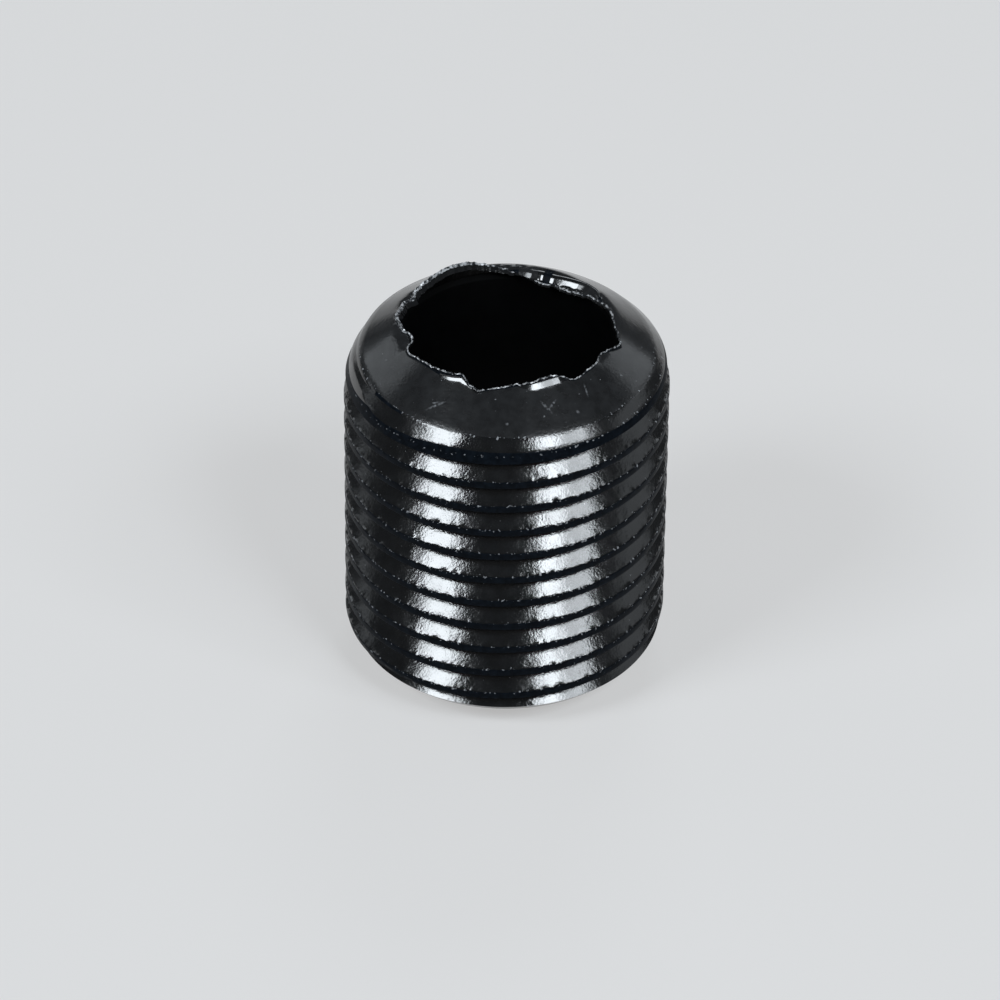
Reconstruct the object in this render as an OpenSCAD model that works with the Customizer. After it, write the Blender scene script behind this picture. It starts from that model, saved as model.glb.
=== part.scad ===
// Short threaded pipe nipple, threaded from end to end, with a bevel on both ends
// and a thin torn lip round its upper mouth.
// Millimetres. The axis is Z, the lower end stands on Z = 0 and -Y is the front.

/* [Pipe] */
// Outside diameter over the coated thread crests (0.405 inch and the coating)
thread_d = 10.4; // [10.2:0.01:10.6]
// Diameter of the bore
bore_d = 6.9; // [6.5:0.1:7.0]
// Length from the foot to the mouth, without the torn lip
pipe_length = 12.4; // [9:0.1:20]

/* [Thread] */
// Threads per inch, right-hand, one start
threads_per_inch = 27; // [25:1:30]
// Depth of the grooves below the crests
groove_depth = 0.48; // [0.42:0.01:0.5]
// Slope of the flank that faces up, measured from the plane across the pipe
upper_flank = 45; // [40:1:48]
// Share of the pitch that is flat on the crest
crest_share = 0.27; // [0.22:0.01:0.3]
// Share of the pitch that is flat in the root
root_share = 0.04; // [0.03:0.01:0.06]
// Height above the foot of one crest's lower edge, on the front
crest_height = 10.89; // [10.5:0.01:11.3]
// Sides of each turn of the thread
thread_sides = 60; // [36:4:72]

/* [Ends] */
// Slope of both bevels, measured from the end plane
bevel_angle = 36; // [30:1:40]
// Width of the flat ring that the pipe stands on
foot_width = 0.35; // [0.3:0.05:0.6]
// Depth below the mouth at which the bore begins to flare
flare_depth = 0.55; // [0.45:0.05:0.8]

/* [Torn lip] */
// Radius of the mouth beyond the bore
mouth_margin = 0.11; // [0.1:0.01:0.15]
// Width of the land that carries the lip
land_width = 0.35; // [0.3:0.01:0.4]
// How far the lip's foot is set into the land, and inside the land's two edges
lip_root = 0.1; // [0.06:0.01:0.15]
lip_inset = 0.03; // [0.02:0.01:0.04]
// Thickness of the lip at its edge
lip_thickness = 0.08; // [0.06:0.01:0.1]
// Width over which the lip bends up from the bevel
lip_bend = 0.1; // [0.08:0.01:0.14]
// Scale of the lip's waves
lip_scale = 1.0; // [0.6:0.05:1.1]

/* [Hidden] */

// Edge of the lip, counter-clockwise seen from above: angle from +X, then how far the
// edge leans out (+) or in (-) from the mouth, and how far it rises above the mouth.
LIP_EDGE = [
    [-180, -0.18, 0.05], [-174, -0.26, 0.08], [-170, -0.49, 0.07], [-163, -0.43, 0.09],
    [-157, -0.12, 0.11], [-153, -0.09, 0.13], [-145, -0.19, 0.15], [-136, -0.25, 0.20],
    [-127, -0.23, 0.24], [-120, -0.30, 0.28], [-115, -0.38, 0.28], [-110, -0.18, 0.16],
    [-105, -0.10, -0.02], [-100, -0.28, -0.02], [-93, -0.29, 0.06], [-85, -0.35, 0.13],
    [-77, -0.33, 0.18], [-68, -0.41, 0.25], [-62, -0.40, 0.20], [-56, -0.24, 0.05],
    [-52, -0.08, 0.05], [-44, -0.12, 0.09], [-36, -0.13, 0.11], [-27, -0.27, 0.15],
    [-19, -0.04, 0.08], [-13, 0.11, 0.05], [-9, 0.00, 0.06], [2, -0.17, 0.10],
    [13, -0.17, 0.07], [23, -0.18, 0.01], [34, -0.29, -0.10], [43, -0.47, -0.16],
    [53, -0.59, -0.18], [61, -0.51, -0.19], [68, -0.68, -0.19], [75, -0.45, -0.17],
    [83, -0.28, -0.16], [91, -0.18, -0.13], [99, -0.05, -0.04], [106, -0.05, 0.08],
    [112, 0.00, 0.17], [123, 0.03, 0.16], [135, 0.04, 0.04], [146, 0.04, -0.07],
    [151, -0.15, -0.10], [155, 0.02, -0.10], [164, -0.04, 0.00], [171, 0.01, 0.06],
    [180, -0.18, 0.05]
];
LIP_LEAN = [for (s = LIP_EDGE) [s[0], s[1]]];
LIP_RISE = [for (s = LIP_EDGE) [s[0], s[2]]];
LIP_SIDES = 120;

// Shoulder between a bevel and the crests: share of the crest radius, then how far along
// the pipe it lies from the edge of the bevel's cone.
SHOULDER = [[0.905, 0], [0.968, 0.34], [1, 0.8]];

MM_PER_INCH = 25.4;
pitch = MM_PER_INCH / threads_per_inch;
crest_r = thread_d / 2;
upper_share = groove_depth * tan(upper_flank) / pitch;
root_r = crest_r - groove_depth;

bore_r = bore_d / 2;
mouth_r = bore_r + mouth_margin;
foot_r = bore_r + foot_width;
land_r = mouth_r + land_width;
land_z = pipe_length - land_width * tan(bevel_angle);
flare_r = mouth_r - 2 * lip_inset;
lip_inner_r = mouth_r - lip_inset;
lip_outer_r = land_r - lip_inset;
cone_r = SHOULDER[0][0] * crest_r;

// The blank is wider than the crests by this much, so that only its ends cut the thread.
CLEAR = 0.4;
// Cutting tools reach this far past the faces that they cut.
PAST = 1;
// Facets of the plain turned faces.
ROUND_SIDES = 96;

function bevel_z(r) = pipe_length - (r - mouth_r) * tan(bevel_angle);
function on_circle(r, angle, z) = [r * cos(angle), r * sin(angle), z];

// Thread: a helical rod whose rows are the four corners of each pitch.
CORNERS = [
    [crest_r, 0],
    [crest_r, crest_share],
    [root_r, crest_share + upper_share],
    [root_r, crest_share + upper_share + root_share]
];
PER_PITCH = len(CORNERS);
turns_below = ceil(crest_height / pitch) + 1;
turns = turns_below + ceil((pipe_length - crest_height) / pitch) + 1;
rows = turns * PER_PITCH;
rod_bottom = crest_height - turns_below * pitch;

function row_r(row) = CORNERS[row % PER_PITCH][0];
function row_z(row) = rod_bottom + pitch * (floor(row / PER_PITCH) + CORNERS[row % PER_PITCH][1]);
function rod_point(row, side) = on_circle(
    row_r(row), side * 360 / thread_sides - 90, row_z(row) + pitch * side / thread_sides);

// One full turn on, a row joins the row that is one pitch higher.
function rod_index(row, side) = side < thread_sides
    ? row * thread_sides + side
    : (row + PER_PITCH) * thread_sides;

module threaded_rod() {
    top = rows - 1;
    low_hub = rows * thread_sides;
    high_hub = low_hub + 1;
    points = [
        for (row = [0 : top]) for (side = [0 : thread_sides - 1]) rod_point(row, side),
        [0, 0, rod_bottom],
        [0, 0, row_z(top) + pitch]
    ];
    skin = [
        for (side = [0 : thread_sides - 1])
        for (row = [0 : top - 1 - (side == thread_sides - 1 ? PER_PITCH : 0)])
        let (a = rod_index(row, side), b = rod_index(row, side + 1))
        let (c = rod_index(row + 1, side + 1), d = rod_index(row + 1, side))
        each [[a, d, c], [a, c, b]]
    ];
    low_rim = [
        for (side = [0 : thread_sides - 1]) rod_index(0, side),
        for (row = [PER_PITCH : -1 : 1]) rod_index(row, 0)
    ];
    high_rim = [
        for (side = [0 : thread_sides - 1]) rod_index(top, side),
        for (row = [top - 1 : -1 : top - PER_PITCH]) rod_index(row, thread_sides - 1)
    ];
    low_cap = [
        for (i = [0 : len(low_rim) - 1])
        [low_hub, low_rim[i], low_rim[(i + 1) % len(low_rim)]]
    ];
    high_cap = [
        for (i = [0 : len(high_rim) - 1])
        [high_hub, high_rim[(i + 1) % len(high_rim)], high_rim[i]]
    ];
    polyhedron(points = points, faces = concat(skin, low_cap, high_cap));
}

// Blank: the bar's outline with the two bevels and their shoulders, wider than the thread
// between them.
module blank() {
    wide_r = crest_r + CLEAR;
    low_edge = (cone_r - foot_r) * tan(bevel_angle);
    high_edge = bevel_z(cone_r);
    outline = [
        [0, 0],
        [foot_r, 0],
        for (s = SHOULDER) [s[0] * crest_r, low_edge + s[1]],
        [wide_r, low_edge + SHOULDER[len(SHOULDER) - 1][1] + CLEAR],
        [wide_r, high_edge - SHOULDER[len(SHOULDER) - 1][1] - CLEAR],
        for (i = [len(SHOULDER) - 1 : -1 : 0]) [SHOULDER[i][0] * crest_r, high_edge - SHOULDER[i][1]],
        [land_r, land_z],
        [0, land_z]
    ];
    rotate_extrude($fn = ROUND_SIDES)
        polygon(outline);
}

module bore() {
    straight = pipe_length - flare_depth;
    translate([0, 0, -PAST])
        cylinder(r = bore_r, h = PAST + pipe_length, $fn = ROUND_SIDES);
    translate([0, 0, straight])
        cylinder(r1 = bore_r, r2 = flare_r, h = land_z - straight, $fn = ROUND_SIDES);
}

// Section of the lip at one angle: foot, the bend where it leaves the bevel, then its edge.
function lip_section(angle) =
    let (half = lip_thickness / 2)
    let (edge_r = mouth_r + lip_scale * lookup(angle, LIP_LEAN))
    let (edge_z = pipe_length + lip_scale * lookup(angle, LIP_RISE))
    let (bend_r = max(edge_r + lip_thickness, mouth_r) + lip_bend)
    [
        on_circle(lip_outer_r, angle, land_z - lip_root),
        on_circle(lip_outer_r, angle, bevel_z(lip_outer_r)),
        on_circle(bend_r, angle, bevel_z(bend_r)),
        on_circle(edge_r + half, angle, edge_z),
        on_circle(edge_r - half, angle, edge_z - half),
        on_circle(lip_inner_r, angle, land_z - lip_root)
    ];

module torn_lip() {
    sections = [for (side = [0 : LIP_SIDES - 1]) lip_section(side * 360 / LIP_SIDES - 180)];
    per = len(sections[0]);
    points = [for (section = sections) each section];
    faces = [
        for (side = [0 : LIP_SIDES - 1]) for (corner = [0 : per - 1])
        let (here = side * per, there = (side + 1) % LIP_SIDES * per, next = (corner + 1) % per)
        each [[here + corner, here + next, there + next], [here + corner, there + next, there + corner]]
    ];
    polyhedron(points = points, faces = faces);
}

module nipple() {
    color("#1c1d20") {
        difference() {
            intersection() {
                threaded_rod();
                blank();
            }
            bore();
        }
        torn_lip();
    }
}

nipple();
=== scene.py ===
# %% [markdown]
# # A short threaded nipple
# The object is one piece of thin pipe, threaded outside from end to end, with a bevel on
# both ends. It was cut off roughly, so a thin torn lip of metal stands round its upper
# mouth. It is finished in black. This lesson builds it round a fixed frame: a coarse solid
# of the same part, which the finished piece replaces in the same place and at the same size.

# %% Load the frame
import math

import bmesh
import bpy
import numpy as np
from mathutils import Matrix, Vector, noise


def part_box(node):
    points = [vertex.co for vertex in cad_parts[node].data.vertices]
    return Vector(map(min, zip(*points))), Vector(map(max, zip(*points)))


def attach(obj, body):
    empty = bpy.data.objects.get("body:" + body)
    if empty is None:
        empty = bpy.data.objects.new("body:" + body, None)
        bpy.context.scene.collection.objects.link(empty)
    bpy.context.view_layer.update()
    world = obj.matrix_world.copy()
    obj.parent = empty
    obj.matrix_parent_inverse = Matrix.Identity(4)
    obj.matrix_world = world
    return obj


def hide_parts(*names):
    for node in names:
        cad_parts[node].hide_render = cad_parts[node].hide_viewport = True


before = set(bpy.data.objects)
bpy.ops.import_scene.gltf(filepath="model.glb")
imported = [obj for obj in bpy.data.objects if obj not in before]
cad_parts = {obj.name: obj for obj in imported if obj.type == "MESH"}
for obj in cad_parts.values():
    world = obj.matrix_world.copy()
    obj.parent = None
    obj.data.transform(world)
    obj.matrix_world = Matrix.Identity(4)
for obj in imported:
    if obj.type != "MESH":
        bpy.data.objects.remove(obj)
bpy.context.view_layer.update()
node_low, node_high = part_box("nipple")
print("frame nodes:", sorted(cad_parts))
print("node height, mm:", round((node_high.z - node_low.z) * 1000, 2))

# %% [markdown]
# ## Real sizes
# Everything is worked out in millimetres, because a thread is easier to read in them, and
# the finished mesh is scaled to metres once. The thread is the small straight pipe thread
# of lamp fittings: 27 turns to the inch and 10.4 mm over the crests. The flank that faces
# up is the open one, at 45 degrees, and the one under each crest is steeper.

# %% Sizes in millimetres
MM = 0.001
CREST_R = 5.2
MOUTH_R = 3.56
LENGTH = 12.4
PITCH = 25.4 / 27
GROOVE_DEPTH = 0.48
CREST_SHARE = 0.24
ROOT_SHARE = 0.04
UPPER_SHARE = GROOVE_DEPTH * math.tan(math.radians(45)) / PITCH
LOWER_SHARE = 1 - CREST_SHARE - UPPER_SHARE - ROOT_SHARE
CREST_HEIGHT = 10.89
CONE_EDGE_R = 0.905 * CREST_R
print("pitch", round(PITCH, 4), "flank shares", round(UPPER_SHARE, 3), round(LOWER_SHARE, 3))

# %% [markdown]
# ## Writing node trees
# Both the thread's shape and the finishes come from node trees. A long formula is easier to
# read as calls than as dozens of links, so this helper adds one node for each call and hands
# back the socket that carries its result. The same helper serves shapes and finishes.

# %% A helper for node trees
class Graph:
    """Adds nodes to a tree. Each call gives back the socket that carries the result."""

    def __init__(self, tree):
        self.nodes, self.links = tree.nodes, tree.links

    def feed(self, socket, value):
        """Numbers and colours go on the socket itself, and other results are linked to it."""
        if isinstance(value, (int, float, tuple)):
            socket.default_value = value
        else:
            self.links.new(value, socket)

    def do(self, operation, *values, clamp=False):
        node = self.nodes.new("ShaderNodeMath")
        node.operation = operation
        node.use_clamp = clamp
        for socket, value in zip(node.inputs, values):
            self.feed(socket, value)
        return node.outputs[0]

    def add(self, a, b):
        return self.do("ADD", a, b)

    def sub(self, a, b):
        return self.do("SUBTRACT", a, b)

    def mul(self, a, b):
        return self.do("MULTIPLY", a, b)

    def div(self, a, b):
        return self.do("DIVIDE", a, b)

    def xyz(self, x, y, z):
        node = self.nodes.new("ShaderNodeCombineXYZ")
        for socket, value in zip(node.inputs, (x, y, z)):
            self.feed(socket, value)
        return node.outputs[0]


print("node helper:", [name for name in vars(Graph) if name[0] != "_"])


# %% Noise and bands
def noise_at(graph, vector, scale, detail, roughness):
    node = graph.nodes.new("ShaderNodeTexNoise")
    node.inputs["Scale"].default_value = scale
    node.inputs["Detail"].default_value = detail
    node.inputs["Roughness"].default_value = roughness
    graph.links.new(vector, node.inputs["Vector"])
    return node.outputs["Fac"]


def band(graph, value, middle, half_width):
    """1 in the middle of the band, falling to 0 at its two sides."""
    away = graph.do("ABSOLUTE", graph.sub(value, middle))
    return graph.do("SUBTRACT", 1.0, graph.div(away, half_width), clamp=True)


print("pattern helpers:", noise_at.__name__, band.__name__)

# %% [markdown]
# ## Finishes
# The real piece has one black coat, but wear and use show it as several finishes: glossy
# flanks, duller crests, satin bevels, and bright metal where the edge was torn. The bore is
# darker, as painted shade, and pale grains along the edges are painted glints. Painted pictures
# would need unwrapping and would blur close up. Noise on the piece's own coordinates has no
# seams and any amount of detail, so every finish here is built from it. Its scales are in
# cycles per metre.

# %% A helper for finishes
def grey(value, blue=1.3):
    """A dark neutral colour that leans to blue, as the light on black enamel does."""
    return (value, value * (1 + (blue - 1) * 0.4), value * blue, 1)


class Finish(Graph):
    """A material whose patterns lie on the piece's own coordinates, in metres."""

    def __init__(self, name):
        self.material = bpy.data.materials.new(name)
        self.material.use_nodes = True
        super().__init__(self.material.node_tree)
        self.shader = self.nodes["Principled BSDF"]
        self.place = self.nodes.new("ShaderNodeTexCoord").outputs["Object"]

    def give(self, name, value):
        self.feed(self.shader.inputs[name], value)

    def grain(self, scale, detail=4):
        return noise_at(self, self.place, scale, detail, 0.55)

    def ramp(self, value, *stops):
        node = self.nodes.new("ShaderNodeValToRGB")
        for element, (position, colour) in zip(node.color_ramp.elements, stops):
            element.position = position
            element.color = colour
        self.links.new(value, node.inputs["Fac"])
        return node.outputs["Color"]

    def blend(self, amount, low, high):
        node = self.nodes.new("ShaderNodeMixRGB")
        for socket, value in zip(node.inputs, (amount, low, high)):
            self.feed(socket, value)
        return node.outputs[0]


# The pale grey of the painted glints along the edges, and of the real scratches and chips.
GLINT_AND_SCRATCH_GREY = grey(0.3, 1.1)
print("pale grain colour:", [round(value, 3) for value in GLINT_AND_SCRATCH_GREY])


# %% Mottle, uneven gloss and fine relief
def mottled(finish, scale, low, high, blue=1.3):
    """Two close blacks in soft patches."""
    return finish.ramp(finish.grain(scale), (0.35, grey(low, blue)), (0.7, grey(high, blue)))


def uneven_gloss(finish, scale, low, high):
    """Roughness that wanders between two values, as a thick coat does."""
    return finish.ramp(finish.grain(scale), (0.3, grey(low, 1.0)), (0.75, grey(high, 1.0)))


def bump(finish, *layers):
    """Relief for the light only: each layer is a pattern, its strength and its height."""
    normal = None
    for pattern, strength, height in layers:
        node = finish.nodes.new("ShaderNodeBump")
        node.inputs["Strength"].default_value = strength
        node.inputs["Distance"].default_value = height
        finish.links.new(pattern, node.inputs["Height"])
        if normal:
            finish.links.new(normal, node.inputs["Normal"])
        normal = node.outputs["Normal"]
    finish.give("Normal", normal)


print("enamel black:", [round(value, 4) for value in grey(0.002)])

# %% [markdown]
# ## Where the painted glints sit
# Pale grains, painted glints, gather along sharp edges: the ragged upper edge of every crest, and
# the line where the bevel cuts the thread. Neither edge has to be marked by hand, because both
# follow from the sizes. A point's angle and height say how far up a pitch it lies, and its
# distance from the axis says how near it is to the bevel's edge.

# %% Masks for the edges where glints are painted
CREST_GLINT_BAND = 0.09
CONE_GLINT_BAND = 0.07


def split(finish):
    parts = finish.nodes.new("ShaderNodeSeparateXYZ")
    finish.links.new(finish.place, parts.inputs[0])
    return parts.outputs


def crest_edge(finish):
    """The band along the upper edge of every crest, from the helix itself."""
    x, y, z = split(finish)
    turn = finish.div(finish.add(finish.do("ARCTAN2", y, x), math.pi / 2), math.tau)
    high = finish.sub(z, CREST_HEIGHT * MM)
    pitches = finish.sub(finish.div(high, PITCH * MM), turn)
    return band(finish, finish.do("FRACT", pitches), CREST_SHARE, CREST_GLINT_BAND)


def cone_edge(finish):
    """The band where the bevel meets the first flank."""
    x, y, _ = split(finish)
    squares = finish.add(finish.do("POWER", x, 2.0), finish.do("POWER", y, 2.0))
    return band(finish, finish.do("SQRT", squares), CONE_EDGE_R * MM, CONE_GLINT_BAND * MM)


print("worn bands: crest", round(2 * CREST_GLINT_BAND * PITCH, 3), "mm, cone", 2 * CONE_GLINT_BAND, "mm")

# %% Pale grains: painted glints
GRAIN_SCALE = 10000
GRAIN_GATHERS = 0.15
GRAIN_SHARPNESS = 14.0


def painted_glints(finish, where, needed):
    """Peaks of a fine noise, more of them where the mask is high: pale painted glints."""
    gathered = finish.mul(where, GRAIN_GATHERS)
    level = finish.add(finish.grain(GRAIN_SCALE, 2), gathered)
    return finish.do("MULTIPLY", finish.sub(level, needed), GRAIN_SHARPNESS, clamp=True)


print("grains are about", round(1000 / GRAIN_SCALE, 2), "mm apart at the least")

# %% [markdown]
# ## The glossy thread
# The flanks carry a thick, shiny coat, so they mirror the lamps in sharp bright bands. A
# perfect mirror would look like plastic: the coat's slight unevenness, at two scales, is what
# breaks the ends of those bands, and pale grains painted along the edges stand for glints.

# %% Finish of the flanks
gloss = Finish("thread_gloss")
# Edges of the crests and of the bevel, where pale painted glints gather.
worn = gloss.do("MAXIMUM", crest_edge(gloss), cone_edge(gloss))
coat = mottled(gloss, 2200, 0.002, 0.005)
gloss.give("Base Color", gloss.blend(painted_glints(gloss, worn, 0.735), coat, GLINT_AND_SCRATCH_GREY))
gloss.give("Roughness", uneven_gloss(gloss, 1400, 0.10, 0.20))
gloss.give("Specular IOR Level", 1.0)
bump(gloss, (gloss.grain(2600, 2), 0.28, 0.02 * MM), (gloss.grain(14000, 2), 0.5, 0.01 * MM))
THREAD = gloss.material
print("flanks:", THREAD.name, len(gloss.nodes), "nodes")

# %% [markdown]
# ## The dull crests
# The flat tops of the thread rub on everything, so their coat is thin and matt. The stronger
# blue lean of their colour is a painted glow of the bright flanks beside them. They hardly
# mirror anything, and read as the dark lines between the bright flanks.

# %% Finish of the crests
dull = Finish("crest_dull")
# The strong blue lean is a painted glow of the bright flanks beside the crests.
coat = dull.ramp(dull.grain(5000), (0.4, grey(0.003, 2.2)), (0.75, grey(0.007, 2.2)))
# Pale painted glints along the crests' ragged upper edges.
dull.give("Base Color", dull.blend(painted_glints(dull, crest_edge(dull), 0.74), coat, GLINT_AND_SCRATCH_GREY))
dull.give("Roughness", 0.4)
dull.give("Specular IOR Level", 0.03)
bump(dull, (dull.grain(9000, 2), 0.5, 0.01 * MM))
CREST = dull.material
print("crests:", CREST.name, len(dull.nodes), "nodes")

# %% [markdown]
# ## The satin bevels
# The bevels are greyer and softer than the thread, with a few scratches and chips. Each mark
# is a small stretched ball: its ends and half width say where it lies, and a fine noise
# breaks it up, so that it looks scraped and not drawn.

# %% Scratches and chips
# The two ends seen from above and the half width, in millimetres.
MARKS = (
    (-2.52, -3.59, -1.92, -3.52, 0.05), (-2.40, -3.45, -2.10, -3.48, 0.03),
    (1.08, -3.66, 1.42, -3.90, 0.05), (1.54, -3.52, 1.33, -3.81, 0.04),
    (2.42, -2.80, 2.55, -3.12, 0.04), (2.22, -3.68, 2.26, -3.68, 0.05),
    (0.00, -4.33, 0.04, -4.33, 0.05), (3.58, -1.93, 3.62, -1.93, 0.05),
    (4.12, -2.55, 4.20, -2.62, 0.05), (3.67, -3.00, 3.70, -3.02, 0.05),
)
MARK_HEIGHT = 12
MARK_REACH = 4


def scratches(finish):
    total = 0.0
    for x1, y1, x2, y2, half_width in MARKS:
        half_length = math.hypot(x2 - x1, y2 - y1) / 2 + half_width
        local = finish.nodes.new("ShaderNodeMapping")
        local.vector_type = "TEXTURE"
        local.inputs["Location"].default_value = (
            (x1 + x2) / 2 * MM, (y1 + y2) / 2 * MM, MARK_HEIGHT * MM)
        local.inputs["Rotation"].default_value = (0, 0, math.atan2(y2 - y1, x2 - x1))
        local.inputs["Scale"].default_value = (
            half_length * MM, half_width * MM, MARK_REACH * MM)
        finish.links.new(finish.place, local.inputs["Vector"])
        size = finish.nodes.new("ShaderNodeVectorMath")
        size.operation = "LENGTH"
        finish.links.new(local.outputs[0], size.inputs[0])
        total = finish.add(total, finish.do("SUBTRACT", 1.0, size.outputs["Value"], clamp=True))
    broken = finish.mul(finish.grain(12000, 2), 3.0)
    return finish.mul(total, finish.do("SUBTRACT", broken, 1.1, clamp=True))


print("marks on the bevel:", len(MARKS))

# %% Finish of the bevels
satin = Finish("bevel_satin")
coat = mottled(satin, 3000, 0.012, 0.021, 1.1)
# Pale painted glints along the bevel's edge, and the real scratches and chips.
worn = satin.do("MAXIMUM", painted_glints(satin, cone_edge(satin), 0.73), scratches(satin))
satin.give("Base Color", satin.blend(worn, coat, GLINT_AND_SCRATCH_GREY))
satin.give("Roughness", uneven_gloss(satin, 1800, 0.14, 0.22))
bump(satin, (satin.grain(9000, 2), 0.4, 0.01 * MM))
BEVELS = satin.material
print("bevels:", BEVELS.name, len(satin.nodes), "nodes")

# %% [markdown]
# ## The bore and the torn edge
# Little light gets into the bore, and its colour is darker than the coat elsewhere, as painted
# shade; its finish is plain and dull. The tear went through coat and metal alike: its edge is a
# chain of bright beads of bare metal, made from a noise that a steep ramp turns light and dark.
# The folded lip behind it kept its coat, which the bending pulled smooth and glossy.

# %% Finish of the bore, with painted shade
deep = Finish("bore_painted_shade")
# Darker than the coat elsewhere: painted shade inside the bore.
deep.give("Base Color", mottled(deep, 1500, 0.0003, 0.001))
deep.give("Roughness", 0.5)
deep.give("Specular IOR Level", 0.12)
BORE = deep.material
print("bore:", BORE.name, len(deep.nodes), "nodes")

# %% Finish of the torn edge
bare = Finish("lip_edge_worn")
bare.give("Base Color", bare.ramp(
    bare.grain(8000, 2), (0.44, grey(0.02)), (0.6, grey(0.6, 1.05))))
bare.give("Metallic", 0.4)
bare.give("Roughness", 0.35)
bump(bare, (bare.grain(9000, 2), 0.6, 0.03 * MM))
EDGE = bare.material
print("torn edge:", EDGE.name, len(bare.nodes), "nodes")

# %% Finish of the folded lip
folded = Finish("lip_gloss")
folded.give("Base Color", mottled(folded, 3000, 0.002, 0.006))
folded.give("Roughness", 0.13)
folded.give("Specular IOR Level", 1.0)
bump(folded, (folded.grain(2500), 0.3, 0.02 * MM))
LIP = folded.material
FINISHES = [THREAD, CREST, BEVELS, BORE, EDGE, LIP]
print("finishes:", [material.name for material in FINISHES])

# %% [markdown]
# ## The thread
# A thread is a shape that follows a rule: one profile, carried round and up by one pitch a
# turn. A bar could be cut with a swept tool, but the seams of such a cut are hard to close.
# Geometry Nodes can bend a flat grid round instead. Its columns are the angle, its rows are
# thirteen points of the profile for each pitch, and the far edge of the grid meets the near
# edge one pitch up, where the two are welded. Above and below, the rows gather on the axis,
# so the rod is closed.

# %% Rows of one pitch
# Shares of the pitch, from the lower edge of a crest: the first rows lie on the crest, and
# they stand closest where the profile turns.
ROWS = (0.0, 0.03, 0.11, 0.18, 0.22, 0.25, 0.29, 0.38, 0.48, 0.58, 0.68, 0.75, 0.85)
PER_PITCH = len(ROWS)
CREST_ROWS = 5
print("rows per pitch:", PER_PITCH, "of which on the crest:", CREST_ROWS)

# %% The tree and its named inputs
SIZES = {
    "Crest Radius": CREST_R, "Groove Depth": GROOVE_DEPTH, "Pitch": PITCH,
    "Crest Share": CREST_SHARE, "Upper Share": UPPER_SHARE, "Lower Share": LOWER_SHARE,
    "Crest Height": CREST_HEIGHT, "Bottom": -0.25, "Top": 12.9, "Ragged": 0.09, "Uneven": 0.02,
}
COUNTS = {"Columns": 450, "Turns": 18}

tree = bpy.data.node_groups.new("helical_thread", "GeometryNodeTree")
tree.interface.new_socket("Geometry", in_out="OUTPUT", socket_type="NodeSocketGeometry")
for kind, group in (("NodeSocketFloat", SIZES), ("NodeSocketInt", COUNTS)):
    for name, value in group.items():
        tree.interface.new_socket(name, in_out="INPUT", socket_type=kind).default_value = value
for name in ("Finish", "Crest Finish"):
    tree.interface.new_socket(name, in_out="INPUT", socket_type="NodeSocketMaterial")
given = tree.nodes.new("NodeGroupInput").outputs
graph = Graph(tree)
do, plus, minus, times, over = graph.do, graph.add, graph.sub, graph.mul, graph.div
print("named inputs:", [socket.name for socket in given if socket.name])

# %% [markdown]
# A grid numbers its points one column after another, so a point's column and row follow from
# its index. The row says which turn it belongs to and how far up the profile it lies, and a
# curve with one corner for each row makes the rows bunch up where the profile turns.

# %% The flat grid, its columns and its rows
columns = given["Columns"]
rows = plus(times(given["Turns"], PER_PITCH), 1)
grid = tree.nodes.new("GeometryNodeMeshGrid")
tree.links.new(plus(columns, 1), grid.inputs["Vertices X"])
tree.links.new(rows, grid.inputs["Vertices Y"])
index = tree.nodes.new("GeometryNodeInputIndex").outputs[0]
column = do("FLOOR", over(index, rows))
row = minus(index, times(column, rows))
turn = do("FLOOR", over(row, PER_PITCH))
step = minus(row, times(turn, PER_PITCH))
print("grid:", COUNTS["Columns"] + 1, "columns,", COUNTS["Turns"] * PER_PITCH + 1, "rows")

# %% Bunched rows
bunch = tree.nodes.new("ShaderNodeFloatCurve")
corners = bunch.mapping.curves[0].points
while len(corners) < PER_PITCH + 1:
    corners.new(0.5, 0.5)
for i, corner in enumerate(corners):
    corner.location = (i / PER_PITCH, (ROWS + (1.0,))[i])
    corner.handle_type = "VECTOR"
bunch.mapping.update()
tree.links.new(over(step, PER_PITCH), bunch.inputs["Value"])
share = bunch.outputs[0]
print("corners of the curve:", len(corners))

# %% [markdown]
# The height grows with the turn, the share and the angle together: that is the helix. How far
# a point falls into the groove depends only on its place across the profile. It is the larger
# of two slopes, one for each flank, and smooth limits round the crest's corner and the root.

# %% Height on the helix
angle = minus(times(over(column, columns), math.tau), math.pi / 2)
whole = plus(plus(turn, share), over(column, columns))
below = do("CEIL", over(minus(given["Crest Height"], given["Bottom"]), given["Pitch"]))
start = minus(given["Crest Height"], times(plus(below, 2), given["Pitch"]))
high = plus(start, times(whole, given["Pitch"]))
print("nodes so far:", len(tree.nodes))

# %% Fall into the groove
CORNER_ROUND = 0.05
ROOT_ROUND = 0.06
half_crest = times(given["Crest Share"], 0.5)
lowest = minus(minus(-ROOT_SHARE / 2, given["Lower Share"]), half_crest)
across = plus(do("FRACT", minus(minus(share, half_crest), lowest)), lowest)
above = over(minus(across, half_crest), given["Upper Share"])
under = over(minus(times(across, -1.0), half_crest), given["Lower Share"])
fall = do("SMOOTH_MAX", do("MAXIMUM", above, under), 0.0, CORNER_ROUND)
fall = do("SMOOTH_MIN", fall, 1.0, ROOT_ROUND)
radius = minus(given["Crest Radius"], times(fall, given["Groove Depth"]))
print("corner rounded over", round(CORNER_ROUND * GROOVE_DEPTH, 3), "mm")

# %% [markdown]
# On the real piece the upper edge of every crest is ragged, where the coat broke away from
# the cutting burr, and the coat as a whole is not quite even. One noise, held to a narrow
# band along that edge, moves it up and down, and a slow faint one swells the whole skin.
# Both depend on the place alone, so they come out the same every time.

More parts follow.
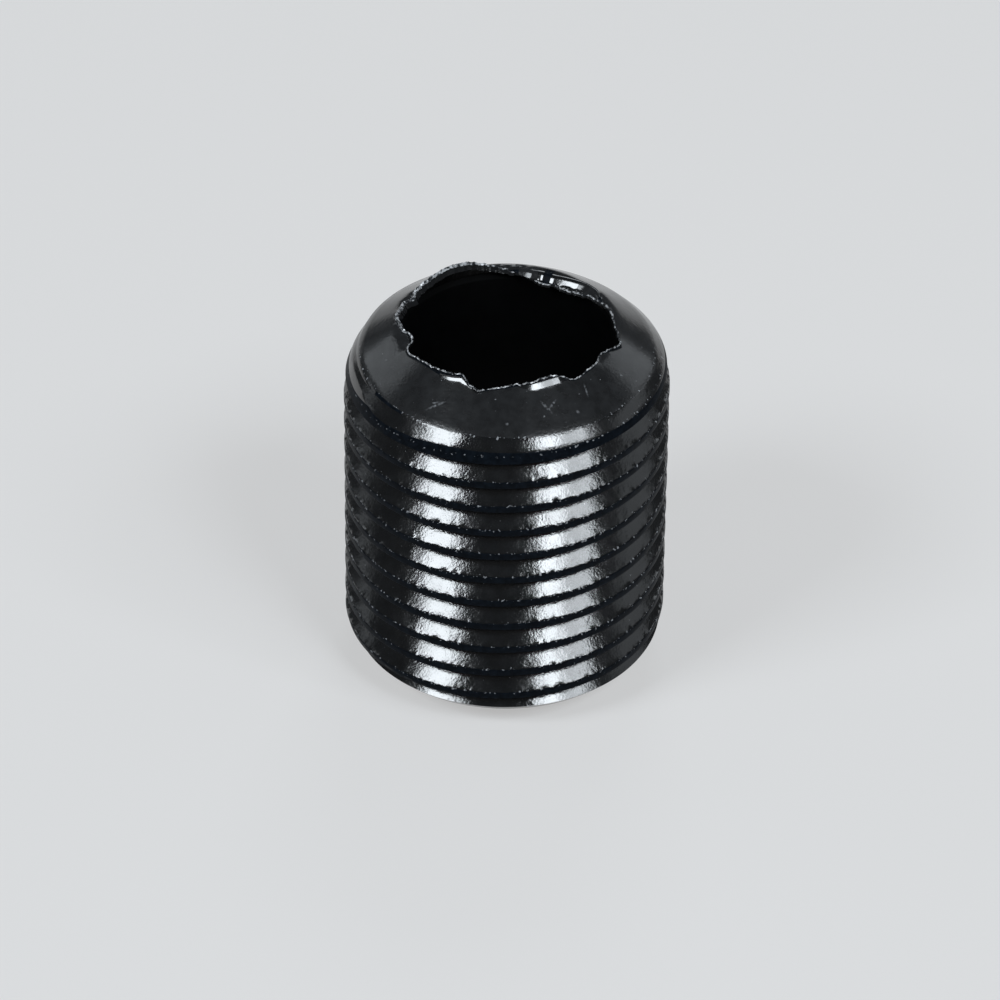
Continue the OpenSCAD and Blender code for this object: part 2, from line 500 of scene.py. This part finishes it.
# %% Ragged crests and an uneven coat
RAGGED_BAND = 0.055
RAGGED_SCALE = 6.5
UNEVEN_SCALE = 1.6
CHIP_DEPTH = 0.3


def wander(vector, scale, detail):
    """A noise that goes as far below 0 as above it."""
    return minus(noise_at(graph, vector, scale, detail, 0.5), 0.5)


spot = graph.xyz(times(do("COSINE", angle), CREST_R), times(do("SINE", angle), CREST_R), high)
edge = band(graph, across, half_crest, RAGGED_BAND)
ragged = times(times(wander(spot, RAGGED_SCALE, 4.0), given["Ragged"]), times(edge, 2.0))
uneven = times(wander(spot, UNEVEN_SCALE, 3.0), given["Uneven"])
chipped = times(do("MINIMUM", ragged, 0.0), CHIP_DEPTH)
radius = plus(radius, plus(uneven, chipped))
print("crest edges wander by at most", SIZES["Ragged"], "mm")

# %% Closed ends
low_end = over(minus(high, given["Bottom"]), given["Pitch"])
top_end = over(minus(high, given["Top"]), given["Pitch"])
gather = times(do("SUBTRACT", low_end, -1.0, clamp=True), do("SUBTRACT", 1.0, top_end, clamp=True))
radius = times(radius, gather)
height = do("MINIMUM", do("MAXIMUM", plus(high, ragged), given["Bottom"]), given["Top"])
bent = tree.nodes.new("GeometryNodeSetPosition")
tree.links.new(grid.outputs["Mesh"], bent.inputs["Geometry"])
tree.links.new(
    graph.xyz(times(do("COSINE", angle), radius), times(do("SINE", angle), radius), height),
    bent.inputs["Position"],
)
print("rod closed from", SIZES["Bottom"], "to", SIZES["Top"], "mm")

# %% [markdown]
# Each face notes whether it lies on a crest while the grid's numbering still says so, keeps
# the note through the weld, and gets its finish last, once the instances are real.

# %% The note, the weld and the finishes
WELD = 0.0002
strips = times(given["Turns"], PER_PITCH)
strip = minus(index, times(do("FLOOR", over(index, strips)), strips))
strip_step = minus(strip, times(do("FLOOR", over(strip, PER_PITCH)), PER_PITCH))

noted = tree.nodes.new("GeometryNodeCaptureAttribute")
noted.domain = "FACE"
noted.capture_items.new("BOOLEAN", "On Crest")
tree.links.new(do("LESS_THAN", strip_step, CREST_ROWS - 0.5), noted.inputs["On Crest"])
weld = tree.nodes.new("GeometryNodeMergeByDistance")
weld.inputs["Distance"].default_value = WELD
smooth = tree.nodes.new("GeometryNodeSetShadeSmooth")
real = tree.nodes.new("GeometryNodeRealizeInstances")
paint = tree.nodes.new("GeometryNodeSetMaterial")
crests = tree.nodes.new("GeometryNodeSetMaterial")
tree.links.new(given["Finish"], paint.inputs["Material"])
tree.links.new(noted.outputs["On Crest"], crests.inputs["Selection"])
tree.links.new(given["Crest Finish"], crests.inputs["Material"])
chain = (bent, noted, weld, smooth, real, paint, crests, tree.nodes.new("NodeGroupOutput"))
for one, following in zip(chain, chain[1:]):
    tree.links.new(one.outputs["Geometry"], following.inputs["Geometry"])
print("nodes in the tree:", len(tree.nodes))


# %% [markdown]
# ## From a tree to a plain mesh
# A modifier's result is only a view of the object until it is copied out as a mesh of its
# own. That mesh is then measured: a closed one has no open edge, and where its volume comes
# out negative its faces point inwards and are turned.

# %% Helpers for objects
def new_object(name, mesh):
    made = bpy.data.objects.new(name, mesh)
    bpy.context.scene.collection.objects.link(made)
    return made


def evaluated_mesh(obj, name):
    """A plain mesh of what the object's modifiers make."""
    depsgraph = bpy.context.evaluated_depsgraph_get()
    mesh = bpy.data.meshes.new_from_object(
        obj.evaluated_get(depsgraph), preserve_all_data_layers=True, depsgraph=depsgraph)
    mesh.name = name
    return mesh


def describe(mesh, name):
    """Prints the mesh's size and whether it is closed, and gives its signed volume."""
    made = bmesh.new()
    made.from_mesh(mesh)
    open_edges = sum(1 for e in made.edges if len(e.link_faces) != 2)
    volume = made.calc_volume(signed=True)
    triangles = sum(len(f.verts) - 2 for f in made.faces)
    made.free()
    print(f"{name}: {triangles} triangles, {open_edges} open edges, volume {volume:.3f}")
    return volume


def face_outwards(mesh, name):
    """A closed mesh with a negative volume is inside out."""
    if describe(mesh, name) < 0:
        mesh.flip_normals()
        describe(mesh, name + " turned")


# %% Make the threaded rod
rod = new_object("threaded_rod", bpy.data.meshes.new("rod_seed"))
modifier = rod.modifiers.new("thread", "NODES")
modifier.node_group = tree
chosen = {"Finish": THREAD, "Crest Finish": CREST}
for item in tree.interface.items_tree:
    if item.in_out == "INPUT" and item.name in chosen:
        modifier[item.identifier] = chosen[item.name]
rod_mesh = evaluated_mesh(rod, "threaded_rod")
rod.modifiers.remove(modifier)
rod.data = rod_mesh
while rod_mesh.materials[0] is None:
    rod_mesh.materials.pop(index=0)
face_outwards(rod_mesh, "threaded rod")

# %% [markdown]
# ## The ends, the bore and the torn lip
# The rest of the piece is a ring: one closed section that is carried round the axis. It is
# wider than the thread between its bevels, so that only its ends cut. A lathe would make all
# of it but the lip, which changes from one angle to the next. The lip's edge is therefore a
# short list of stations, read between and smoothed, with a little noise for the raw metal.

# %% The lip's edge
# Angle from +X, counter-clockwise seen from above, then the edge's lean out from the mouth
# and its rise above it, in millimetres.
LIP_EDGE = (
    (-180, -0.18, 0.05), (-174, -0.26, 0.08), (-170, -0.49, 0.07), (-163, -0.43, 0.09),
    (-157, -0.12, 0.11), (-153, -0.09, 0.13), (-145, -0.18, 0.16), (-136, -0.21, 0.22),
    (-127, -0.18, 0.27), (-120, -0.24, 0.32), (-115, -0.30, 0.33), (-110, -0.13, 0.19),
    (-105, -0.10, -0.02), (-100, -0.23, 0.02), (-93, -0.24, 0.10), (-85, -0.28, 0.18),
    (-77, -0.24, 0.24), (-68, -0.29, 0.33), (-62, -0.29, 0.28), (-58, -0.24, 0.18),
    (-55, -0.17, 0.08), (-52, -0.08, 0.05), (-44, -0.12, 0.09), (-36, -0.13, 0.11),
    (-27, -0.27, 0.15), (-19, -0.04, 0.08), (-13, 0.11, 0.05), (-9, 0.00, 0.06),
    (2, -0.17, 0.10), (13, -0.17, 0.07), (23, -0.18, 0.01), (34, -0.29, -0.10),
    (43, -0.47, -0.16), (53, -0.59, -0.18), (61, -0.51, -0.19), (68, -0.68, -0.19),
    (75, -0.45, -0.17), (83, -0.28, -0.16), (91, -0.18, -0.13), (99, -0.05, -0.04),
    (106, -0.05, 0.08), (112, 0.00, 0.17), (123, 0.03, 0.16), (135, 0.04, 0.04),
    (146, 0.04, -0.07), (151, -0.15, -0.10), (155, 0.02, -0.10), (164, -0.04, 0.00),
    (171, 0.01, 0.06), (180, -0.18, 0.05),
)
SIDES = 720


def around(column):
    """One column of the stations at every side, its corners smoothed over five sides."""
    stations = np.array(LIP_EDGE)
    angles = np.arange(SIDES) * 360.0 / SIDES - 180.0
    fine = np.interp(angles, stations[:, 0], stations[:, column])
    window = np.array([1, 2, 3, 2, 1], float)
    padded = np.concatenate([fine[-2:], fine, fine[:2]])
    return np.convolve(padded, window / window.sum(), "valid")


lean, rise = around(1), around(2)
print("lip rises", round(rise.min(), 2), "to", round(rise.max(), 2), "mm")

# %% Raw metal along the edge
LIP_SEED = 7.3


def raw(angle, scale, seed):
    return noise.noise(Vector((math.cos(angle) * scale, math.sin(angle) * scale, seed)))


def torn(angle):
    """How far the tear wanders outwards and upwards at one angle: coarse and fine together."""
    outwards = 0.03 * raw(angle, 14, LIP_SEED) + 0.02 * raw(angle, 60, LIP_SEED)
    upwards = 0.05 * raw(angle, 17, LIP_SEED + 5) + 0.04 * raw(angle, 70, LIP_SEED)
    return outwards, upwards


print("tear at the front, mm:", [round(value, 4) for value in torn(-math.pi / 2)])

# %% [markdown]
# ## Bevel and shoulder
# Each bevel is a cone, 36 degrees off the end. Below its edge the crests are cut down and
# widen to their full size over most of a pitch. The left side has been worn rounder than the
# rest, so the shoulder there reaches a third of a millimetre further down. That is no more
# than a second list of drops, which fades in with the angle.

# %% Slopes and fades
BEVEL = math.tan(math.radians(36))
FOOT_R = 3.8


def bevel_z(r):
    """Height of the upper bevel's cone at a radius."""
    return LENGTH - (r - MOUTH_R) * BEVEL


def ease(value, start, end):
    """0 up to the start, 1 past the end and smooth between. It may run downwards."""
    t = min(max((value - start) / (end - start), 0.0), 1.0)
    return t * t * (3 - 2 * t)


def worn_left(degrees):
    return ease(degrees, -138, -168) if degrees < 0 else ease(degrees, 95, 135)


LOW_EDGE = (CONE_EDGE_R - FOOT_R) * BEVEL
HIGH_EDGE = bevel_z(CONE_EDGE_R)
print("cone edges at", round(LOW_EDGE, 3), "and", round(HIGH_EDGE, 3), "mm")

# %% The outside, from the foot to the bevel
# Share of the crest radius, drop from the cone's edge, and the further drop on the left.
SHOULDER = (
    (0.905, 0.0, 0.0), (0.926, 0.113, 0.09), (0.947, 0.227, 0.18), (0.968, 0.34, 0.27),
    (0.976, 0.42, 0.33), (0.990, 0.60, 0.34), (1.0, 0.82, 0.34),
)
WIDE_R = CREST_R + 0.5
WIDE_LOW, WIDE_HIGH = 1.4, 1.7
DULL_FROM, DULL_TO = -151, -134
BEVEL_RADII = (4.5, 4.2)


def outside(degrees):
    """Radius, height and finish of each point. The finish is that of the face above it."""
    worn = worn_left(degrees)
    all_dull = DULL_FROM < degrees < DULL_TO
    section = [(FOOT_R, 0.0, BEVELS)]
    section += [(s * CREST_R, LOW_EDGE + h, THREAD if s < 0.96 else CREST) for s, h, _ in SHOULDER]
    section += [(WIDE_R, LOW_EDGE + WIDE_LOW, THREAD), (WIDE_R, HIGH_EDGE - WIDE_HIGH, THREAD)]
    for s, h, more in reversed(SHOULDER):
        finish = BEVELS if s < 0.91 else CREST if s > 0.97 or all_dull else THREAD
        section.append((s * CREST_R, HIGH_EDGE - h - more * worn, finish))
    return section + [(r, bevel_z(r), BEVELS) for r in BEVEL_RADII]


print("points outside:", len(outside(0)))


# %% Curves and tables
def spline(points, steps=3):
    """A smooth curve that starts and ends on the list and rounds the points between."""
    points = [np.array(p, float) for p in points]
    made = [points[0]]
    last = len(points) - 3
    for k, (a, b, c) in enumerate(zip(points, points[1:], points[2:])):
        start = a if k == 0 else (a + b) / 2
        end = c if k == last else (b + c) / 2
        for t in np.linspace(0, 1, steps + 1)[1:]:
            made.append((1 - t) ** 2 * start + 2 * t * (1 - t) * b + t * t * end)
    return made


def at(table, degrees):
    """Reads a table of angles and values, with straight lines between its rows."""
    return float(np.interp(degrees, [row[0] for row in table], [row[1] for row in table]))


print("a spline of 8 points has", len(spline([(k, k) for k in range(8)])), "points")

# %% [markdown]
# ## The lip's two forms
# Round most of the mouth the lip stands up from the bevel as a thin wall. In a few places at
# the front its foot is flared, like the foot of a bent sheet, and the flare mirrors the lamps.
# There it also stands a little steeper than in the coarse solid. At the back right it is
# rolled over into the mouth instead. Both forms are drawn with the same number of points, so
# one can be blended into the other from angle to angle.

# %% The standing lip
# Angle, and width of the flared foot by which the lip leaves the bevel.
LIP_FOOT = (
    (-180, 0.03), (-130, 0.04), (-121, 0.10), (-114, 0.11), (-111, 0.03), (-109, 0.03),
    (-106, 0.09), (-103, 0.03), (-88, 0.03), (-84, 0.05), (-80, 0.11), (-75, 0.16),
    (-66, 0.17), (-61, 0.15), (-57, 0.07), (-53, 0.03), (180, 0.03),
)
FOOT_SLOPE = math.tan(math.radians(46))
FOOT_BEND = 0.12
WALL_HOLLOW = 0.003
LEAST_RISE, LEAST_WALL = 0.05, 0.03


def standing_lip(degrees, top_r, edge_z):
    """Where the foot bends up, the flared foot, and the wall up to just below the edge."""
    foot = at(LIP_FOOT, degrees)
    crease_r = top_r + foot
    crease_z = min(bevel_z(crease_r), edge_z - LEAST_RISE)
    wall_z = min(crease_z + FOOT_SLOPE * foot, edge_z - LEAST_WALL)
    return [
        (crease_r + FOOT_BEND, bevel_z(crease_r + FOOT_BEND)), (crease_r, crease_z),
        (crease_r - foot / 2, (crease_z + wall_z) / 2), (top_r, wall_z),
        (top_r - WALL_HOLLOW, 0.6 * wall_z + 0.4 * edge_z),
        (top_r - WALL_HOLLOW, 0.2 * wall_z + 0.8 * edge_z),
    ]


print("foot of the front fold, mm:", round(at(LIP_FOOT, -70), 3))

# %% The rolled lip
# Angle, and radius at which the rolled lip ends its slope into the mouth.
ROLL_FOOT = (
    (20, 3.30), (34, 3.27), (44, 3.24), (48, 3.19), (55, 3.085), (62, 2.99), (65, 2.98),
    (70, 3.01), (76, 2.99), (84, 3.06), (95, 3.30),
)
ROLL_DROP = 0.2
# The ridge and the slope, outwards and upwards from the slope's low end.
ROLL_RIDGE = ((0.33, 0.22), (0.21, 0.22), (0.085, 0.088), (0, 0))
ROLL_BEGINS, ROLL_ENDS = (24, 38), (92, 76)


def rolled_lip(degrees):
    """The bevel's last reach, the ridge of the roll and its slope down into the mouth."""
    low_r, low_z = at(ROLL_FOOT, degrees), LENGTH - ROLL_DROP
    reach = [(3.80, bevel_z(3.80)), (3.58, LENGTH - 0.03)]
    return reach + [(low_r + out, low_z + up) for out, up in ROLL_RIDGE]


def roll_share(degrees):
    """1 where the lip is rolled, 0 where it stands."""
    return ease(degrees, *ROLL_BEGINS) * ease(degrees, *ROLL_ENDS)


print("roll at 30, 60 and 90 degrees:", [round(roll_share(d), 2) for d in (30, 60, 90)])

# %% The lip's section
LIP_START_R = 3.98


def sheet(degrees):
    """Half the thickness of the torn edge: thicker at the left and the back left."""
    thick = ease(degrees, 95, 115) if degrees > 0 else ease(degrees, -163, -173)
    return 0.03 + 0.035 * thick


def lip_section(degrees, edge_r, edge_z, rolled):
    start = (LIP_START_R, bevel_z(LIP_START_R))
    top = (edge_r + sheet(degrees), edge_z - 0.01)
    wall = spline([start, *standing_lip(degrees, top[0], edge_z), top])
    roll = spline([start, *rolled_lip(degrees), top])
    return [(1 - rolled) * a + rolled * b for a, b in zip(wall, roll)]


print("torn sheet, mm thick:", [round(2 * sheet(d), 3) for d in (-90, 0, 90, 179)])

# %% The lip's finishes
# Angles of the glossy patches on the roll and of the dull one between them, the width from
# which a flared foot is glossy, and the points of the section where a foot and a wall begin.
GLOSSY_ROLL = ((47, 64), (68.5, 72.5))
DULL_ROLL = (64, 68.5)
GLOSSY_FOOT = 0.05
FOOT_FROM, WALL_FROM, FOOT_TO = 5, 8, 12


def lip_finish(k, degrees, rolled):
    """Finish above point k of the lip's section."""
    if rolled > 0.5 and k >= FOOT_FROM:
        if any(low < degrees < high for low, high in GLOSSY_ROLL):
            return LIP
        return CREST if DULL_ROLL[0] <= degrees <= DULL_ROLL[1] else BEVELS
    if at(LIP_FOOT, degrees) > GLOSSY_FOOT and FOOT_FROM <= k < FOOT_TO:
        return LIP
    return BEVELS if k < WALL_FROM else CREST


print("finish of the roll:", [lip_finish(10, d, 1).name for d in (40, 55, 66, 70, 80)])

# %% [markdown]
# ## Inside the mouth
# Over the torn edge the skin turns down, follows the lip's inner side to a faint ring where
# the bore begins to flare, and then runs straight down to the foot.

# %% The inside, from the edge down the bore
BORE_R = 3.45
FLARE_DEPTH = 0.55
RING_ROUND = 0.02
MOUTH_RING = (MOUTH_R - 0.03, LENGTH - 0.36)


def inside(degrees, edge_r, edge_z):
    half = sheet(degrees)
    roll_in = 0.04 + 0.07 * ease(degrees, 80, 100)
    behind = (edge_r - half - roll_in, edge_z - 0.2)
    halfway = [0.5 * a + 0.5 * b for a, b in zip(behind, MOUTH_RING)]
    flare_z = LENGTH - FLARE_DEPTH
    return [
        (edge_r + half * 0.3, edge_z + half * 0.6, EDGE),
        (edge_r - half * 0.5, edge_z + half * 0.4, EDGE),
        (edge_r - half, edge_z - half * 0.4, LIP if degrees > 20 else BORE),
        (edge_r - half - 0.9 * roll_in, edge_z - half - roll_in, BORE),
        (*halfway, BORE),
        (*MOUTH_RING, BORE),
        (BORE_R + RING_ROUND, flare_z + RING_ROUND, BORE),
        (BORE_R, flare_z - RING_ROUND, BORE),
        (BORE_R, LENGTH * 0.6, BORE),
        (BORE_R, LENGTH * 0.03, BORE),
        (BORE_R + 0.03, 0.0, BEVELS),
    ]


print("points inside:", len(inside(0, MOUTH_R, LENGTH)))


# %% One whole section
def ring_section(i):
    """The closed section at one side. The tear shows only in the last points of the lip."""
    degrees = i * 360.0 / SIDES - 180.0
    angle = math.radians(degrees)
    edge_r, edge_z = MOUTH_R + lean[i], LENGTH + rise[i]
    torn_r, torn_z = torn(angle)
    rolled = roll_share(degrees)
    lip = lip_section(degrees, edge_r, edge_z, rolled)
    section = outside(degrees)
    for k, (r, z) in enumerate(lip):
        near = max(0.0, (k + 4 - len(lip)) / 3)
        finish = EDGE if near == 1 else lip_finish(k, degrees, rolled)
        section.append((r + near * torn_r, z + near * torn_z, finish))
    return angle, section + inside(degrees, edge_r + torn_r, edge_z + torn_z)


print("points in a section:", len(ring_section(0)[1]))


# %% Make the ring
def ring_mesh():
    vertices, faces, finishes = [], [], []
    sections = [ring_section(i) for i in range(SIDES)]
    count = len(sections[0][1])
    for angle, section in sections:
        vertices += [(r * math.cos(angle), r * math.sin(angle), z) for r, z, _ in section]
    for i in range(SIDES):
        here, there = i * count, (i + 1) % SIDES * count
        for j in range(count):
            k = (j + 1) % count
            faces.append((here + j, there + j, there + k, here + k))
            finishes.append(FINISHES.index(sections[i][1][j][2]))
    mesh = bpy.data.meshes.new("ring")
    mesh.from_pydata(vertices, [], faces)
    for material in FINISHES:
        mesh.materials.append(material)
    mesh.polygons.foreach_set("material_index", finishes)
    mesh.polygons.foreach_set("use_smooth", [True] * len(faces))
    mesh.update()
    return mesh


ring = new_object("ring", ring_mesh())
face_outwards(ring.data, "ring")

# %% [markdown]
# ## Cut the thread with the ring
# A boolean keeps what the rod and the ring have in common: the bevels run out over the last
# grooves exactly as a lathe tool leaves them. The result is a closed skin, and each face
# keeps the finish of the shape that it came from.

# %% The finished piece
SHARP_ANGLE = math.radians(28)
cut = rod.modifiers.new("ends", "BOOLEAN")
cut.operation = "INTERSECT"
cut.solver = "MANIFOLD"
cut.material_mode = "TRANSFER"
cut.object = ring
piece_mesh = evaluated_mesh(rod, "nipple_visual")
rod.modifiers.remove(cut)
describe(piece_mesh, "nipple")
piece_mesh.transform(Matrix.Scale(MM, 4))
piece_mesh.polygons.foreach_set("use_smooth", [True] * len(piece_mesh.polygons))
piece_mesh.set_sharp_from_angle(angle=SHARP_ANGLE)
piece = new_object("nipple_visual", piece_mesh)
for extra in (rod, ring):
    bpy.data.objects.remove(extra)
print("finishes on the piece:", [material.name for material in piece_mesh.materials])

# %% Its place in the frame
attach(piece, "root")
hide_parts("nipple")
print("piece:", piece.name, "size, mm:", [round(side / MM, 2) for side in piece.dimensions])

# %% [markdown]
# ## Floor
# The piece stands on a plain pale floor. To look evenly pale it shines a little of its own,
# but only for rays that come from the camera, a glossy surface or a clear one: its light
# doesn't fall on the piece, and the shadow stays.

# %% Floor
FLOOR_HALF = 2
FLOOR_Z = -0.01 * MM
FLOOR_GLOW = 0.45

floor_mesh = bpy.data.meshes.new("floor")
floor_corners = [(x * FLOOR_HALF, y * FLOOR_HALF, FLOOR_Z)
                 for x, y in ((-1, -1), (1, -1), (1, 1), (-1, 1))]
floor_mesh.from_pydata(floor_corners, [], [(0, 1, 2, 3)])
floor = new_object("floor", floor_mesh)
plain = Finish("floor_plain")
plain.give("Base Color", (0.6, 0.6, 0.6, 1))
plain.give("Roughness", 0.7)
rays = plain.nodes.new("ShaderNodeLightPath").outputs
seen = plain.do("MAXIMUM", rays["Is Camera Ray"], rays["Is Glossy Ray"])
seen = plain.do("MAXIMUM", seen, rays["Is Transmission Ray"])
mix = plain.nodes.new("ShaderNodeMixShader")
glow = plain.nodes.new("ShaderNodeEmission")
plain.feed(mix.inputs["Fac"], plain.mul(seen, FLOOR_GLOW))
plain.feed(mix.inputs[1], plain.shader.outputs[0])
plain.feed(mix.inputs[2], glow.outputs[0])
plain.feed(plain.nodes["Material Output"].inputs["Surface"], mix.outputs[0])
floor_mesh.materials.append(plain.material)
print("floor:", 2 * FLOOR_HALF, "m wide")

# %% [markdown]
# ## Light
# Black enamel shows only what it mirrors, so the lamps are shaped for their reflections. A
# soft box at the left front makes the left row of highlights down the thread. The right row
# has a bright, a dim and a bright part, so its box is in three. A faint box behind catches
# the lip's far edge, four dim panels at the sides draw soft streaks on the bevel, and a low
# even fill keeps the rest from going black.

# %% Fill
FILL = 0.08
world = bpy.data.worlds.new("fill")
bpy.context.scene.world = world
world.use_nodes = True
sky = world.node_tree.nodes["Background"]
sky.inputs["Color"].default_value = (0.9, 0.95, 1.0, 1)
sky.inputs["Strength"].default_value = FILL
print("fill:", FILL)

# %% Soft boxes
# Azimuth from the front, elevation and roll in degrees, then distance, width and height in
# metres, and radiance.
SOFT_BOXES = (
    ("box_left", -55.5, 44, 20, 0.4, 0.14, 0.12, 13),
    ("box_right", 34, 48, -12, 0.4, 0.088, 0.12, 14.5),
    ("box_right_dim", 51, 45, -16, 0.4, 0.07, 0.12, 6),
    ("box_right_end", 61.5, 42, -18, 0.4, 0.042, 0.12, 9),
    ("box_back", 172, 42, 0, 0.4, 0.15, 0.12, 3),
    ("panel_left", -126, 26, 42, 0.5, 0.31, 0.1, 1.1),
    ("panel_left_low", -112, 14, 0, 0.5, 0.12, 0.1, 0.5),
    ("panel_right", 129, 24, -42, 0.5, 0.24, 0.1, 1.1),
    ("panel_right_low", 99, 26, 0, 0.5, 0.28, 0.14, 0.45),
)
BOX_COLOUR = (0.89, 0.95, 1.0)
AIM = Vector((0, 0, 0.006))


def soft_box(name, azimuth, elevation, roll, distance, width, height, radiance):
    """An area lamp that faces the middle of the piece."""
    light = bpy.data.lights.new(name, "AREA")
    light.shape = "RECTANGLE"
    light.size, light.size_y = width, height
    light.energy = radiance * math.pi * width * height
    light.color = BOX_COLOUR
    a, e = math.radians(azimuth), math.radians(elevation)
    back = Vector((math.sin(a) * math.cos(e), -math.cos(a) * math.cos(e), math.sin(e)))
    side = Vector((0, 0, 1)).cross(back).normalized()
    turned = Matrix.Rotation(math.radians(roll), 3, back)
    side, up = turned @ side, turned @ back.cross(side)
    made = new_object(name, light)
    made.location = AIM + back * distance
    made.rotation_euler = Matrix((side, up, back)).transposed().to_euler()


for box in SOFT_BOXES:
    soft_box(*box)
print("soft boxes and panels:", len(SOFT_BOXES))

# %% [markdown]
# ## Camera
# The camera looks down on the piece from the front with a long lens, so the pipe's sides run
# nearly parallel. Its place is given from the front crest, in millimetres, and its three
# small angles in radians.

# %% Camera
FOCAL_PIXELS = 6072.0
FRAME_PIXELS = 1000
SENSOR = 36
CAMERA_PLACE = Vector((0, -156.0, CREST_HEIGHT + 114.27))
DOWN, TURN, ROLL = 0.65421, -0.00113, 0.01068

camera_data = bpy.data.cameras.new("camera")
camera_data.sensor_width = SENSOR
camera_data.lens = FOCAL_PIXELS / FRAME_PIXELS * SENSOR
camera_data.clip_start, camera_data.clip_end = 0.01, 10
camera = new_object("camera", camera_data)
forward = Vector((
    math.sin(TURN) * math.cos(DOWN), math.cos(TURN) * math.cos(DOWN), -math.sin(DOWN)))
level = Vector((math.cos(TURN), -math.sin(TURN), 0))
upward = level.cross(forward)
right = math.cos(ROLL) * level + math.sin(ROLL) * upward
upright = -math.sin(ROLL) * level + math.cos(ROLL) * upward
camera.matrix_world = Matrix.Translation(CAMERA_PLACE * MM) @ (
    Matrix((right, upright, -forward)).transposed().to_4x4())
bpy.context.scene.camera = camera
bpy.context.scene.view_settings.view_transform = "Standard"
print("lens, mm:", round(camera_data.lens, 1), "distance, mm:", round(CAMERA_PLACE.length, 1))
